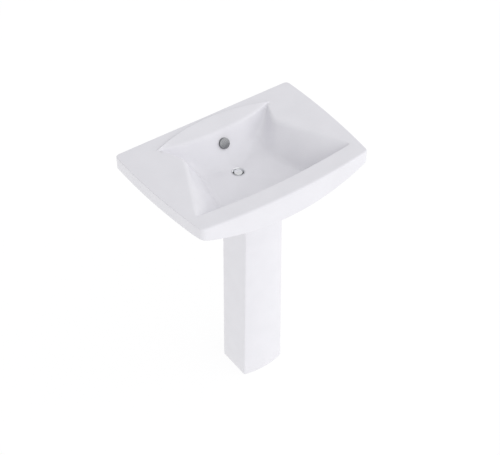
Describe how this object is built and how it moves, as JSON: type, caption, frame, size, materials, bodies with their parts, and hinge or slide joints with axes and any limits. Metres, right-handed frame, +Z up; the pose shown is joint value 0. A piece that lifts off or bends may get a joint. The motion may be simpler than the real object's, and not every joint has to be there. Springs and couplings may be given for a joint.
{
  "type": "pedestal sink",
  "caption": "White ceramic pedestal basin with bowed front, flared rectangular bowl, crescent rear platform, click-clack waste, overflow, bottle trap and a bow-fronted column.",
  "frame": {"origin": "on the floor, under the centre of the object's bounding box", "axes": "+Z up, -Y towards the user at the bowed front, +Y towards the wall, +X to the right seen from the front"},
  "size_m": [0.643, 0.444, 0.866],
  "materials": {
    "china": "gloss white glaze",
    "chrome": "polished",
    "spring_steel": "drawn wire",
    "rubber": "matte",
    "nylon": "moulded"
  },
  "bodies": {
    "sink": {"basin": "china", "pedestal": "china", "pedestal_pads": "rubber", "wall_collars": "nylon", "floor_collars": "nylon", "overflow_ring": "chrome", "overflow_seal": "rubber", "waste_body": "chrome", "waste_top_seal": "rubber", "waste_bottom_seal": "rubber", "waste_washer": "nylon", "waste_backnut": "chrome", "click_body": "chrome", "click_spring": "spring_steel", "trap_inlet_nut": "chrome", "trap_inlet_seal": "rubber", "trap_inlet_tube": "chrome", "trap_top_nut": "chrome", "trap_top_seal": "rubber", "trap_body": "chrome", "trap_outlet_nut": "chrome", "trap_outlet_seal": "rubber", "trap_outlet_pipe": "chrome"},
    "plug": {"plug_cap": "chrome", "plug_seal": "rubber", "plug_stem": "chrome"},
    "cup": {"trap_cup": "chrome", "trap_cup_seal": "rubber"}
  },
  "joints": [
    {"name": "plug_slide", "type": "slide", "parent": "sink", "child": "plug", "axis": [0, 0, 1], "range_m": [0, 0.008], "deforming": ["click_spring"]},
    {"name": "cup_turn", "type": "hinge", "parent": "sink", "child": "cup", "pos_m": [0, 0.045, 0.52], "axis": [0, 0, 1], "range_deg": [-540, 0]}
  ]
}
